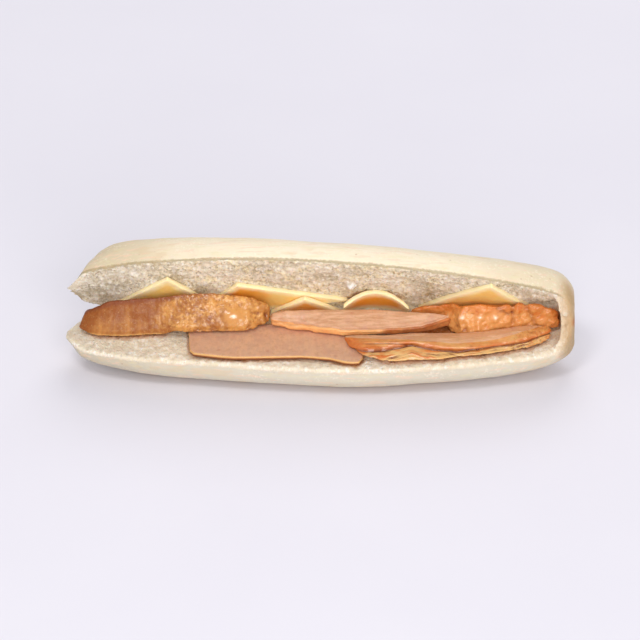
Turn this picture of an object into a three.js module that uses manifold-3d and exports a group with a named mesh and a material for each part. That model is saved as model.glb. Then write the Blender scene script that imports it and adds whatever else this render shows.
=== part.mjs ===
// Submarine sandwich: a foot-long pale soft roll, slit lengthwise and left joined along its back and its
// right-hand end, standing open on slices of roast chicken breast and five corners of sliced cheese.
// Millimetres, +Z up. X runs along the roll, the mouth faces -Y. The origin is under the middle of the part.
import * as THREE from "three";
import { mergeVertices } from "three/addons/utils/BufferGeometryUtils.js";
import Module from "manifold-3d";

// Roll
const ROLL_LENGTH = 305;
const ROLL_WIDTH = 76;
const BASE_DEPTH = 23.5;
const SOLE_TRIM = 2;
const BASE_SWELL = 0.07;
const LID_DEPTH = [[-110, 30.5], [-12, 25.6], [60, 22.8], [110, 23.4]];
const LID_LEFT_END = [[-149.5, 0.08], [-143, 0.25], [-136, 0.68], [-130, 0.89], [-122, 1]];
const SPINE = 7;
const MOUTH_ANGLE_LEFT = 57.5;
const MOUTH_ANGLE_RIGHT = 39;
const CRUMB_RELIEF = 0.5;
const CRUST_RELIEF = 0.5;
const END_WALL = 7;
const END_REACH = 42;

// Fillings
const CHEESE_THICKNESS = 2.6;
const LOW_SLICE_THICKNESS = 2.4;
const BED = BASE_DEPTH + 0.8;
const BED_ON_SLICE = BED + LOW_SLICE_THICKNESS + 0.6;

const HALF_LENGTH = ROLL_LENGTH / 2;
const HALF_WIDTH = ROLL_WIDTH / 2;
const HINGE_Y = HALF_WIDTH - SPINE;

const wasm = await Module();
wasm.setup();

const clamp = (value, low, high) => Math.min(high, Math.max(low, value));
const mix = (a, b, share) => a + (b - a) * share;
const radians = (degrees) => (degrees * Math.PI) / 180;

function ease(low, high, value) {
  const share = clamp((value - low) / (high - low), 0, 1);
  return share * share * (3 - 2 * share);
}

// Height of a superellipse of unit size at a distance from its middle.
function dome(distance, power) {
  return (1 - clamp(Math.abs(distance), 0, 1) ** power) ** (1 / power);
}

// A signed power, which squares off the round of a sine or cosine.
const bend = (value, power) => Math.sign(value) * Math.abs(value) ** power;

// A smooth line through [place, value] pairs, read at x.
function along(points, x) {
  if (x <= points[0][0]) return points[0][1];
  for (let i = 1; i < points.length; i++) {
    const [a, b] = [points[i - 1], points[i]];
    if (x <= b[0]) return mix(a[1], b[1], ease(a[0], b[0], x));
  }
  return points[points.length - 1][1];
}

// Unevenness of hand-made food: a few waves that never repeat along the roll, between -1 and 1.
function unevenness(x, y, size) {
  return (
    (Math.sin(x / size + 1.3 * Math.cos(y / size)) +
      Math.sin(x / (0.61 * size) + y / (0.83 * size) + 2.1) +
      Math.sin(y / (0.47 * size) - x / (1.37 * size) + 4.4)) /
    3
  );
}

// Closed mesh whose vertices are moved one by one: place gives a vertex's new point from its old one. The
// faces are turned if the move leaves them looking inwards.
function shaped(geometry, place) {
  geometry.deleteAttribute("normal");
  geometry.deleteAttribute("uv");
  const merged = mergeVertices(geometry, 1e-5);
  const position = merged.attributes.position;
  for (let i = 0; i < position.count; i++) {
    position.setXYZ(i, ...place(position.getX(i), position.getY(i), position.getZ(i)));
  }
  const [a, b, c] = [new THREE.Vector3(), new THREE.Vector3(), new THREE.Vector3()];
  let volume = 0;
  for (let i = 0; i < merged.index.count; i += 3) {
    a.fromBufferAttribute(position, merged.index.getX(i));
    b.fromBufferAttribute(position, merged.index.getX(i + 1));
    c.fromBufferAttribute(position, merged.index.getX(i + 2));
    volume += a.dot(b.cross(c));
  }
  if (volume < 0) merged.index.array.reverse();
  return merged;
}

// Half width of the roll at x on its front or back side: a slim left end, cornered at the back, and a blunt
// right end.
function halfWidth(x, side, swell) {
  const leftPower = side > 0 ? 3 : 2.1;
  const fullness = 1 + swell * Math.sin((2 * Math.PI * (x + 27.5)) / 210);
  return HALF_WIDTH * fullness * dome(x / HALF_LENGTH, x < 0 ? leftPower : 2.7);
}

// How far the mouth is open at x, in radians.
function mouthAngle(x) {
  const share = clamp((x + HALF_LENGTH) / ROLL_LENGTH, 0, 1) ** 2.2;
  const closing = 5 * ease(0.94 * HALF_LENGTH, HALF_LENGTH, x);
  return radians(mix(MOUTH_ANGLE_LEFT, MOUTH_ANGLE_RIGHT, share) - closing);
}

// A point of the lid, by its distance forward of the hinge and its depth below the lid's cut face.
function onLid(x, forward, below) {
  const angle = mouthAngle(x);
  const y = HINGE_Y - forward * Math.cos(angle) - below * Math.sin(angle);
  const z = BASE_DEPTH + forward * Math.sin(angle) - below * Math.cos(angle);
  return [x, y, z];
}

// Half a roll: a sphere with its poles at the roll's ends. place gets x, how far across the section the vertex
// is (-1 front to 1 back), and how far out of the cut face (negative inside it).
function halfRoll(place) {
  const ball = new THREE.SphereGeometry(1, 28, 34).rotateZ(Math.PI / 2);
  return shaped(ball, (x, y, z) => {
    const radius = Math.hypot(y, z);
    const [across, out] = radius > 1e-6 ? [z / radius, y / radius] : [0, 0];
    return place(HALF_LENGTH * bend(x, x < 0 ? 0.9 : 0.8), across, out);
  });
}

function baseGeometry() {
  return halfRoll((x, across, out) => {
    const width = halfWidth(x, across, BASE_SWELL);
    const y = width * bend(across, 0.9);
    const inset = dome(x / HALF_LENGTH, 4);
    if (out <= 0) {
      const relief = CRUMB_RELIEF * unevenness(x, y, 9) * inset * dome(across, 4);
      return [x, y, BASE_DEPTH + relief];
    }
    const depth = BASE_DEPTH * dome(x / HALF_LENGTH, x < 0 ? 2.5 : 3) * out ** 0.8;
    const crust = CRUST_RELIEF * unevenness(x, y, 24) * out;
    return [x, y, BASE_DEPTH - Math.min(depth + crust, BASE_DEPTH - SOLE_TRIM)];
  });
}

function lidGeometry() {
  return halfRoll((x, across, out) => {
    const forward = HINGE_Y - halfWidth(x, across, 0.02) * bend(across, 0.95);
    if (out <= 0) {
      const relief = CRUMB_RELIEF * unevenness(x + 70, forward, 8) * dome(x / HALF_LENGTH, 4);
      return onLid(x, forward, relief * dome(across, 4));
    }
    const end = dome(x / HALF_LENGTH, x < 0 ? 3.6 : 4.4) * along(LID_LEFT_END, x);
    const depth = along(LID_DEPTH, x) * end * out ** 0.95;
    return onLid(x, forward, -depth - CRUST_RELIEF * unevenness(x, forward, 26) * out);
  });
}

// The uncut right-hand end: crust that runs round from the base to the lid, swept about the hinge. It reaches
// furthest forward where it meets the two lips.
function endGeometry() {
  return shaped(new THREE.BoxGeometry(1, 1, 1, 1, 10, 8), (wall, span, turn) => {
    const forward = mix(4, END_REACH + 36 * turn * turn, span + 0.5);
    const outer = HALF_LENGTH * dome((forward - HINGE_Y) / HALF_WIDTH, 2.7) - 0.3;
    const x = outer - END_WALL * (0.5 - wall);
    const angle = mix(radians(-4), mouthAngle(outer) + radians(4), turn + 0.5);
    return [x, HINGE_Y - forward * Math.cos(angle), BASE_DEPTH + forward * Math.sin(angle)];
  });
}

// A geometry as a solid, and a solid as a geometry again.
function solidOf(geometry) {
  const vertProperties = new Float32Array(geometry.attributes.position.array);
  const triVerts = new Uint32Array(geometry.index.array);
  return new wasm.Manifold(new wasm.Mesh({ numProp: 3, vertProperties, triVerts }));
}

function geometryOf(solid) {
  const mesh = solid.getMesh();
  const geometry = new THREE.BufferGeometry();
  geometry.setAttribute("position", new THREE.BufferAttribute(mesh.vertProperties, 3));
  geometry.setIndex(new THREE.BufferAttribute(mesh.triVerts, 1));
  return geometry;
}

function rollGeometry() {
  return geometryOf(solidOf(baseGeometry()).add(solidOf(lidGeometry())).add(solidOf(endGeometry())));
}

// Cheese: a slice that lies under the lid with one corner forward. Each corner is its x, its distance forward
// of the hinge, and its depth below the lid's cut face.
function cheeseGeometry({ tip, left, back, right, sag }) {
  return shaped(new THREE.BoxGeometry(1, 1, 1, 8, 8, 1), (a, b, c) => {
    const [u, v] = [a + 0.5, b + 0.5];
    const [x, forward, depth] = [0, 1, 2].map((i) => mix(mix(back[i], right[i], u), mix(left[i], tip[i], u), v));
    const droop = sag * (1 - (2 * u - 1) ** 2) * (1 - v) + 0.25 * unevenness(x, forward, 7);
    return onLid(x, forward, depth + droop + CHEESE_THICKNESS * (0.5 - c));
  });
}

const CHEESE_CORNERS = {
  cheese_1: { tip: [-91, 45, 1.2], left: [-124.5, 10, 1.2], back: [-92, 6, 1.2], right: [-68.5, 18, 1.2], sag: 0.6 },
  cheese_2: { tip: [-49.5, 39, 1.2], left: [-63.5, 19, 1.2], back: [-36, 7, 1.2], right: [17, 21, 1.2], sag: 0.6 },
  cheese_3: { tip: [-9, 30, 5], left: [-30, 9, 5], back: [-8, 7, 4.6], right: [12.8, 12, 5], sag: 0.2 },
  cheese_5: { tip: [101.4, 61.5, 1.2], left: [59, 10, 1.2], back: [93, 8, 1.2], right: [125.5, 20, 1.2], sag: 0.4 },
};

// The fourth cheese: a slice bent over into an arch, its front edge curved back at both sides.
function archGeometry() {
  const [middle, halfSpan] = [33.8, 19.5];
  return shaped(new THREE.BoxGeometry(2, 1, 1, 14, 6, 1), (u, b, c) => {
    const v = b + 0.5;
    const forward = mix(11, 34.5 - 7 * u * u, v);
    const below = 1.3 + mix(2.4, 7.2, v) * u * u + CHEESE_THICKNESS * (0.5 - c);
    return onLid(middle + halfSpan * u, forward, below);
  });
}

// Block with rounded edges, -1 to 1 each way: a box drawn in to a superellipsoid of the given power.
function roundedBlock(segments, power, place) {
  return shaped(new THREE.BoxGeometry(2, 2, 2, ...segments), (x, y, z) => {
    const size = (Math.abs(x) ** power + Math.abs(y) ** power + Math.abs(z) ** power) ** (1 / power);
    const share = Math.max(Math.abs(x), Math.abs(y), Math.abs(z)) / size;
    return place(x * share, y * share, z * share);
  });
}

// Piece of chicken that lies along the roll. Its section is a rounded quadrilateral whose corners change
// along x: foot and crest in front, crown and heel behind, each [y, z].
function chickenGeometry({ from, to, power, segments, foot, crest, crown, heel, lumps, crease }) {
  return roundedBlock(segments, power, (u, v, w) => {
    const x = mix(from, to, (u + 1) / 2);
    const [back, up] = [(v + 1) / 2, (w + 1) / 2];
    const corner = (point) => [along(point.y, x), along(point.z, x)];
    const [low, high, top, end] = [foot, crest, crown, heel].map(corner);
    let [y, z] = [0, 1].map((i) => mix(mix(low[i], high[i], up), mix(end[i], top[i], up), back));
    const front = ease(0.3, -0.9, v);
    const swell = lumps * unevenness(x, 3 * y + 2 * z, 11);
    y -= swell * front;
    z += 0.6 * swell * up;
    if (crease) y += 2.4 * front * Math.exp(-(((up - along(crease, x)) / 0.11) ** 2));
    return [x, y, z];
  });
}

const level = (height) => [[0, height]];

const CHICKEN = {
  chicken_left: {
    from: -143,
    to: -30.5,
    power: 6.5,
    segments: [20, 5, 5],
    foot: {
      y: [[-143, -3.5], [-130, -6], [-96, -4], [-76, -7], [-45, -5.5], [-32, 1]],
      z: [[-95, BED], [-86, BED_ON_SLICE]],
    },
    crest: {
      y: [[-143, 6], [-125, 7], [-70, 7], [-30, 8]],
      z: [[-143, 39.5], [-126, 45], [-100, 47], [-72, 51], [-45, 48.5], [-31, 43]],
    },
    crown: { y: level(17.5), z: level(33.5) },
    heel: { y: level(23.5), z: [[-95, BED], [-86, BED_ON_SLICE]] },
    lumps: 0.8,
  },
  chicken_mid: {
    from: -29.5,
    to: 77.8,
    power: 5,
    segments: [18, 4, 5],
    foot: { y: [[-28, 1], [-12, -2], [15, -8.5], [36, -7], [60, -4.5], [78, 2]], z: level(BED_ON_SLICE) },
    crest: { y: [[-28, 1], [-12, -2], [15, -8.5], [36, -7], [60, -4.5], [78, 2]], z: level(33) },
    crown: { y: [[-20, 5.5], [40, 5], [60, 3]], z: level(39.5) },
    heel: { y: [[-20, 16], [36, 16], [47, 5.5]], z: level(BED_ON_SLICE) },
    lumps: 0.5,
  },
  chicken_fold: {
    from: 14.5,
    to: 138,
    power: 4.5,
    segments: [24, 4, 8],
    foot: {
      y: [[14, -18], [22, -34], [30, -37.5], [42, -36.5], [66, -34], [88, -29], [109, -24.5], [121, -21.5], [137, -15]],
      z: [[31.5, BED_ON_SLICE], [39, BED]],
    },
    crest: { y: [[14, -17], [26, -22], [50, -22], [92, -20], [109, -15.5], [121, -12], [137, -6]], z: [[14, 33.5], [50, 32.5], [92, 31.5], [121, 32.5]] },
    crown: { y: [[36, -10.5], [60, -8], [80, -7.5], [93, -7], [109, -3.2], [121, -0.5], [136, 1]], z: [[92, 30.8], [125, 32]] },
    heel: { y: [[36, -11], [60, -8.5], [80, -8.5], [93, -7.5], [109, -3.5], [121, -0.5], [136, 1]], z: [[31.5, BED_ON_SLICE], [39, BED]] },
    lumps: 0.6,
    crease: [[20, 0.5], [35, 0.66], [58, 0.76], [79, 0.44], [93, 0.34], [120, 0.2], [134, 0.33]],
  },
  chicken_right: {
    from: 54.5,
    to: 143.3,
    power: 5,
    segments: [18, 5, 5],
    foot: { y: [[77.5, 8], [81, -3], [86, -5.6], [93, -6], [109, -2], [130, 1.5]], z: level(BED) },
    crest: { y: [[77.5, 9], [85, 0.5], [109, 0.5], [130, 3]], z: [[56, 39.5], [75, 40.5], [90, 45.6], [125, 45.3], [141, 42]] },
    crown: { y: [[50, 16.5], [140, 15]], z: level(33) },
    heel: { y: [[47, 22], [120, 21], [140, 12]], z: level(BED) },
    lumps: 1.2,
  },
};

// The flat slice that lies on the base's crumb under the others and reaches out to its front lip.
function lowSliceGeometry() {
  const front = [[-79, -28], [-50, -32], [-10, -31], [2, -32.5], [21, -39]];
  const [fromX, toX, backY] = [-82.5, 31, 10];
  return roundedBlock([20, 8, 1], 9, (u, v, w) => {
    const y = mix(along(front, mix(fromX, toX, (u + 1) / 2)), backY, (v + 1) / 2);
    const x = mix(fromX, toX, (u + 1) / 2) + 0.06 * (y + 10) * u;
    return [x, y, BED + LOW_SLICE_THICKNESS * (0.5 + w / 2)];
  });
}

const group = new THREE.Group();

function addPiece(name, geometry, color, roughness) {
  geometry.computeVertexNormals();
  const mesh = new THREE.Mesh(geometry, new THREE.MeshStandardMaterial({ color, roughness, metalness: 0 }));
  mesh.name = name;
  group.add(mesh);
}

addPiece("roll", rollGeometry(), 0xf0e0c2, 0.75);
for (const [name, corners] of Object.entries(CHEESE_CORNERS)) {
  addPiece(name, cheeseGeometry(corners), 0xe8b765, 0.4);
}
addPiece("cheese_4", archGeometry(), 0xe8b765, 0.4);
for (const [name, piece] of Object.entries(CHICKEN)) {
  addPiece(name, chickenGeometry(piece), 0xc98b52, 0.35);
}
addPiece("slice_low", lowSliceGeometry(), 0xd6a585, 0.45);

const bounds = new THREE.Box3().setFromObject(group);
const middle = bounds.getCenter(new THREE.Vector3());
group.position.set(-middle.x, -middle.y, -bounds.min.z);

export default group;
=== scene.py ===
"""Submarine sandwich: the roll, the cheese and the chicken get their fine surfaces and finishes here."""

import math

import bmesh
import bpy
import numpy as np
from bpy.props import FloatProperty, FloatVectorProperty, IntProperty, PointerProperty
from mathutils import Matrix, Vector, noise
from mathutils.bvhtree import BVHTree
from mathutils.kdtree import KDTree


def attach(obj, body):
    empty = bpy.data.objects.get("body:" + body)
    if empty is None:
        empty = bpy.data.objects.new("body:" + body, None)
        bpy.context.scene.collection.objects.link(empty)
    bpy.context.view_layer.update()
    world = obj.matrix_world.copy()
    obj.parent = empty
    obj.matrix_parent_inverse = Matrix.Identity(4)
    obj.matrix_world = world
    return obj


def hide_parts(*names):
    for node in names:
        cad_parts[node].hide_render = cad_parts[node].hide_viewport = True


bl_info = {
    "name": "Submarine Sandwich",
    "version": (1, 0, 0),
    "blender": (4, 5, 0),
    "location": "View3D > Sidebar > Sandwich",
    "description": "Builds a filled submarine sandwich on its packed frame",
    "category": "Add Mesh",
}

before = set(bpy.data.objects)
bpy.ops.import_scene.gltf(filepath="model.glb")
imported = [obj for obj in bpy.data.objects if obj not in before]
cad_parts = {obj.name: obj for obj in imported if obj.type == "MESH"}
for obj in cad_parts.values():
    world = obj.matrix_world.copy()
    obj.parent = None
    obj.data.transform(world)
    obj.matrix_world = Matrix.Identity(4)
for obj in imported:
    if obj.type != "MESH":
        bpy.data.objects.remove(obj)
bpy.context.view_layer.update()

# Millimetres, in the part's frame. The roll's mouth opens about a hinge line along X.
HALF_LENGTH = 152.5
HALF_WIDTH = 38.0
OUTLINE_POWER = 2.7
BASE_TOP = 21.5
HINGE_Y = 28.69
HINGE_REACH = 31.0

# Degrees that the mouth is open at its ends, and how it narrows between them
MOUTH_LEFT = 57.5
MOUTH_RIGHT = 39.0
MOUTH_CURVE = 2.2
MOUTH_END_CLOSING = 5

# Sine and cosine of the 30 degrees that the camera looks down
VIEW_SINE = 0.5
VIEW_COSINE = 0.866


def srgb(red, green, blue):
    """A colour picked on screen, 0 to 255, as linear light with full alpha."""
    channels = []
    for value in (red, green, blue):
        share = value / 255
        channels.append(share / 12.92 if share <= 0.04045 else ((share + 0.055) / 1.055) ** 2.4)
    return (*channels, 1.0)


def rise(low, high, values):
    """0 below low, 1 above high, and a smooth step between them."""
    share = np.clip((np.asarray(values, float) - low) / (high - low), 0, 1)
    return share * share * (3 - 2 * share)


def bump_at(values, middle, width):
    """1 at middle, and falling off on both sides over width."""
    return np.exp(-(((np.asarray(values, float) - middle) / width) ** 2))


# Noise over points in millimetres


def waves(points, size, octaves=3, stretch=(1, 1, 1), seed=0):
    """Cloudy noise of about -1 to 1, with lumps of about the given size."""
    scaled = points / (size * np.array(stretch, float)) + seed * 17.31
    return np.array([noise.fractal(Vector(p), 0.8, 2.0, octaves) for p in scaled])


def pits(points, size, seed=0, least=0.14, most=0.5):
    """Scattered round spots: 1 in the middle of each, 0 between them, uneven in width."""
    found = np.zeros(len(points))
    for index, point in enumerate(points / size + seed * 17.31):
        distances, centres = noise.voronoi(Vector(point))
        centre = centres[0]
        luck = math.sin(centre.x * 12.9898 + centre.y * 78.233 + centre.z * 37.719) * 43758.5453 % 1
        found[index] = max(0.0, 1 - distances[0] / (least + (most - least) * luck))
    return rise(0, 1, found)


def cells(points, size, stretch=(1, 1, 1), seed=0):
    """Rounded lumps packed side by side: 1 on top of each, 0 in the valleys between them."""
    found = np.zeros(len(points))
    for index, point in enumerate(points / (size * np.array(stretch, float)) + seed * 17.31):
        distances = noise.voronoi(Vector(point))[0]
        found[index] = min(1.0, 1.6 * (distances[1] - distances[0]))
    return rise(0, 1, found)


# Places on the sandwich


def line(places, x):
    """Value at x of a line through (x, value) places."""
    return np.interp(x, *zip(*places))


def face_height(points):
    """Height up a face that leans back, as the fillings do: how high a point looks from the front."""
    return VIEW_SINE * points[:, 1] + VIEW_COSINE * points[:, 2]


def mouth_angle(x):
    """How far the mouth is open at x, in radians."""
    share = np.clip((x + HALF_LENGTH) / (2 * HALF_LENGTH), 0, 1) ** MOUTH_CURVE
    closing = MOUTH_END_CLOSING * rise(0.94 * HALF_LENGTH, HALF_LENGTH, x)
    return np.radians(MOUTH_LEFT + (MOUTH_RIGHT - MOUTH_LEFT) * share - closing)


def in_mouth(points):
    """Height over the base's cut face, and depth under the lid's."""
    x, y, z = points.T
    angle = mouth_angle(x)
    height = z - BASE_TOP
    below = (HINGE_Y - y) * np.sin(angle) - height * np.cos(angle)
    return height, below


def lid_normal(x):
    """Outward normal of the lid's cut face at each x: it looks forward and down into the mouth."""
    angle = mouth_angle(x)
    return np.stack([np.zeros_like(angle), -np.sin(angle), -np.cos(angle)], axis=1)


class Surface:
    """A remeshed copy of a CAD node, worked on as arrays in millimetres before it becomes a piece."""

    def __init__(self, node, voxel):
        copy = bpy.data.objects.new("work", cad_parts[node].data.copy())
        bpy.context.scene.collection.objects.link(copy)
        remesh = copy.modifiers.new("Even faces", "REMESH")
        remesh.mode = "VOXEL"
        remesh.voxel_size = voxel * 0.001
        evaluated = copy.evaluated_get(bpy.context.evaluated_depsgraph_get())
        self.mesh = bpy.data.meshes.new_from_object(evaluated)
        self.node = node
        bpy.data.objects.remove(copy)
        self.mesh.materials.clear()
        self.marks = {}
        self._read()

    def _read(self):
        count = len(self.mesh.vertices)
        if count == 0:
            raise RuntimeError(f"{self.node} came out empty from the remesh")
        points = np.empty(count * 3)
        self.mesh.vertices.foreach_get("co", points)
        self.points = points.reshape(-1, 3) * 1000
        edges = np.empty(len(self.mesh.edges) * 2, int)
        self.mesh.edges.foreach_get("vertices", edges)
        self.edges = edges.reshape(-1, 2)
        self.valence = np.bincount(edges, minlength=count)

    def _write(self):
        self.mesh.vertices.foreach_set("co", (self.points * 0.001).ravel())
        self.mesh.update()

    def refine(self, chosen):
        """Halves the faces whose corners are all chosen."""
        self._write()
        work = bmesh.new()
        work.from_mesh(self.mesh)
        work.verts.ensure_lookup_table()
        picked = [e for e in work.edges if chosen[e.verts[0].index] and chosen[e.verts[1].index]]
        bmesh.ops.subdivide_edges(work, edges=picked, cuts=1, use_grid_fill=True)
        work.to_mesh(self.mesh)
        work.free()
        self._read()

    def spread(self, values):
        """Mean of each vertex's neighbours."""
        first, second = self.edges.T
        values = np.asarray(values, float)
        if values.ndim == 1:
            count = len(self.points)
            total = np.bincount(first, values[second], count)
            total += np.bincount(second, values[first], count)
            return total / np.maximum(self.valence, 1)
        return np.stack([self.spread(column) for column in values.T], axis=1)

    def smooth(self, rounds, share=1.0):
        """Evens the surface out and keeps its size, by a share of 0 to 1 that may vary over it."""
        weight = np.broadcast_to(share, len(self.points))[:, None]
        for _ in range(rounds):
            for step in (0.6, -0.62):
                self.points += step * weight * (self.spread(self.points) - self.points)

    def normals(self):
        self._write()
        found = np.empty(len(self.points) * 3)
        self.mesh.vertices.foreach_get("normal", found)
        return found.reshape(-1, 3)

    def push(self, amount):
        """Moves the surface out along its normals by so many millimetres."""
        self.points += self.normals() * np.asarray(amount)[:, None]

    def mark(self, name, values):
        """Keeps a number for each vertex, which the finish reads by name."""
        self.marks[name] = np.asarray(values, np.float32)

    def piece(self, name, material, slot):
        """Makes the finished piece, in place of its CAD node."""
        self._write()
        for key, values in self.marks.items():
            layer = self.mesh.attributes.new(key, "FLOAT", "POINT")
            layer.data.foreach_set("value", values)
        self.mesh.name = name
        self.mesh.materials.append(material)
        self.mesh.shade_smooth()
        made = bpy.data.objects.new(name, self.mesh)
        bpy.context.scene.collection.objects.link(made)
        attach(made, "root")
        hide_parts(self.node)


# Finishes


class Signal:
    """A shader socket. Arithmetic on it adds Math nodes to its finish."""

    def __init__(self, finish, socket):
        self.finish = finish
        self.socket = socket

    def _math(self, operation, *terms, clamp=False):
        settings = {"operation": operation, "use_clamp": clamp}
        return self.finish.add("ShaderNodeMath", settings, dict(enumerate(terms)))

    def __add__(self, other):
        return self._math("ADD", self, other)

    __radd__ = __add__

    def __sub__(self, other):
        return self._math("SUBTRACT", self, other)

    def __rsub__(self, other):
        return self._math("SUBTRACT", other, self)

    def __mul__(self, other):
        return self._math("MULTIPLY", self, other)

    __rmul__ = __mul__

    def __truediv__(self, other):
        return self._math("DIVIDE", self, other)

    def __rtruediv__(self, other):
        return self._math("DIVIDE", other, self)

    def kept(self):
        """The same number held between 0 and 1."""
        return self._math("ADD", self, 0.0, clamp=True)

    def rise(self, low, high):
        """0 below low, 1 above high, and a smooth step between them."""
        settings = {"interpolation_type": "SMOOTHSTEP", "data_type": "FLOAT"}
        values = {"Value": self, "From Min": low, "From Max": high, "To Min": 0.0, "To Max": 1.0}
        return self.finish.add("ShaderNodeMapRange", settings, values)


class Finish:
    """A procedural material on one Principled shader. Sizes are in millimetres."""

    def __init__(self, name):
        self.material = bpy.data.materials.new(name)
        self.material.use_nodes = True
        self.tree = self.material.node_tree
        self.tree.nodes.clear()
        self.shader = self.tree.nodes.new("ShaderNodeBsdfPrincipled")
        out = self.tree.nodes.new("ShaderNodeOutputMaterial")
        self.tree.links.new(self.shader.outputs[0], out.inputs["Surface"])
        self._place = None

    def add(self, kind, settings=None, values=None, output=0):
        """Adds a node with its settings, then its sockets' values or links, and gives one output."""
        node = self.tree.nodes.new(kind)
        for key, value in (settings or {}).items():
            setattr(node, key, value)
        for key, value in (values or {}).items():
            self._feed(self._socket(node, key), value)
        return Signal(self, node.outputs[output])

    def _socket(self, node, key):
        if isinstance(key, int):
            return node.inputs[key]
        for socket in node.inputs:
            if socket.identifier == key:
                return socket
        return node.inputs[key]

    def _feed(self, socket, value):
        if isinstance(value, Signal):
            self.tree.links.new(value.socket, socket)
        else:
            socket.default_value = value

    def place(self, stretch=(1, 1, 1)):
        """The point on the surface in millimetres, drawn out by stretch along each axis."""
        if self._place is None:
            self._place = self.add("ShaderNodeTexCoord", output=3)
        scale = tuple(1000 / s for s in stretch)
        return self.add("ShaderNodeVectorMath", {"operation": "MULTIPLY"}, {0: self._place, 1: scale})

    def noise(self, size, detail=3.0, roughness=0.55, stretch=(1, 1, 1)):
        """Cloudy noise from 0 to 1, mostly near 0.5."""
        values = {
            "Vector": self.place(stretch),
            "Scale": 1 / size,
            "Detail": detail,
            "Roughness": roughness,
        }
        return self.add("ShaderNodeTexNoise", None, values)

    def spots(self, size, stretch=(1, 1, 1)):
        """Distance to the nearest of some scattered points, as a share of size."""
        values = {"Vector": self.place(stretch), "Scale": 1 / size}
        return self.add("ShaderNodeTexVoronoi", {"feature": "F1"}, values)

    def mark(self, name):
        """A number that was kept for each vertex of the mesh."""
        return self.add("ShaderNodeAttribute", {"attribute_name": name}, None, 2)

    def blend(self, share, first, second, mode="MIX"):
        """The first colour where share is 0, and the second where it is 1."""
        settings = {"data_type": "RGBA", "blend_type": mode}
        values = {"Factor_Float": share, "A_Color": first, "B_Color": second}
        return self.add("ShaderNodeMix", settings, values, 2)

    def over(self, base, *layers):
        """Lays (share, colour) layers over a colour, one after the other."""
        for share, colour in layers:
            base = self.blend(share, base, colour)
        return base

    def bump(self, height, depth):
        """Relief of so many millimetres where height goes from 0 to 1."""
        values = {"Height": height, "Distance": depth * 0.001, "Strength": 1.0}
        return self.add("ShaderNodeBump", None, values)

    def set(self, **sockets):
        """Sets the shader's sockets, by name with _ for a space."""
        for key, value in sockets.items():
            self._feed(self.shader.inputs[key.replace("_", " ")], value)
        return self.material


# What a user may change


class BreadSettings(bpy.types.PropertyGroup):
    voxel: FloatProperty(
        name="Face size",
        description="Size of the crust's faces; the crumb's are half as wide",
        default=0.00158,
        min=0.0008,
        unit="LENGTH",
    )
    pore_depth: FloatProperty(
        name="Pore depth",
        description="Depth of the largest holes in the crumb",
        default=0.0014,
        min=0.0,
        unit="LENGTH",
    )
    crust: FloatVectorProperty(
        name="Crust",
        description="Colour of the pale crust",
        subtype="COLOR",
        size=4,
        default=srgb(238, 224, 196),
    )
    toasted: FloatVectorProperty(
        name="Toasted crust",
        description="Colour of the crust's browned top and sole",
        subtype="COLOR",
        size=4,
        default=srgb(226, 188, 136),
    )
    crumb: FloatVectorProperty(
        name="Crumb",
        description="Colour of the cut bread",
        subtype="COLOR",
        size=4,
        default=srgb(255, 243, 222),
    )


class CheeseSettings(bpy.types.PropertyGroup):
    voxel: FloatProperty(
        name="Face size",
        description="Size of the slices' faces",
        default=0.0006,
        min=0.0004,
        unit="LENGTH",
    )
    colour: FloatVectorProperty(
        name="Cheese",
        description="Colour inside the slices",
        subtype="COLOR",
        size=4,
        default=srgb(255, 216, 128),
    )
    # Colour of the painted highlight along the slices' edges
    rim: FloatVectorProperty(
        name="Highlighted edge",
        description="Colour of the slices' edges",
        subtype="COLOR",
        size=4,
        default=srgb(255, 233, 184),
    )


class ChickenSettings(bpy.types.PropertyGroup):
    voxel: FloatProperty(
        name="Face size",
        description="Size of the chicken's faces",
        default=0.00055,
        min=0.0004,
        unit="LENGTH",
    )
    roast: FloatVectorProperty(
        name="Roast skin",
        description="Colour of the thick fillet's roasted outside",
        subtype="COLOR",
        size=4,
        default=srgb(212, 148, 74),
    )
    # Dark roast colour, also used as painted shade in the hollows and valleys
    dark_roast_and_shade: FloatVectorProperty(
        name="Shaded roast",
        description="Colour of the shaded roasted spots",
        subtype="COLOR",
        size=4,
        default=srgb(128, 62, 28),
    )
    flesh: FloatVectorProperty(
        name="Flesh",
        description="Colour of the middle slice's cut meat",
        subtype="COLOR",
        size=4,
        default=srgb(202, 152, 114),
    )


class StageSettings(bpy.types.PropertyGroup):
    distance: FloatProperty(
        name="Camera distance",
        description="From the camera to the sandwich",
        default=2.5,
        min=0.5,
        unit="LENGTH",
    )
    elevation: FloatProperty(
        name="Camera elevation",
        description="Camera's angle above the horizon",
        default=math.radians(30),
        subtype="ANGLE",
    )
    view_width: FloatProperty(
        name="View width",
        description="Width of the view at the sandwich",
        default=0.3828,
        min=0.1,
        unit="LENGTH",
    )
    key_power: FloatProperty(
        name="Key light",
        description="Power of the soft light overhead",
        default=8.9,
        min=0.0,
        unit="POWER",
    )
    room_light: FloatProperty(
        name="Room light", description="Strength of the even light all round", default=0.5, min=0.0
    )
    seed: IntProperty(name="Seed", description="Picks another pattern of lumps and pores", default=0, min=0)


def sandwich_settings():
    return bpy.context.scene.sandwich


# Pieces


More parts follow.
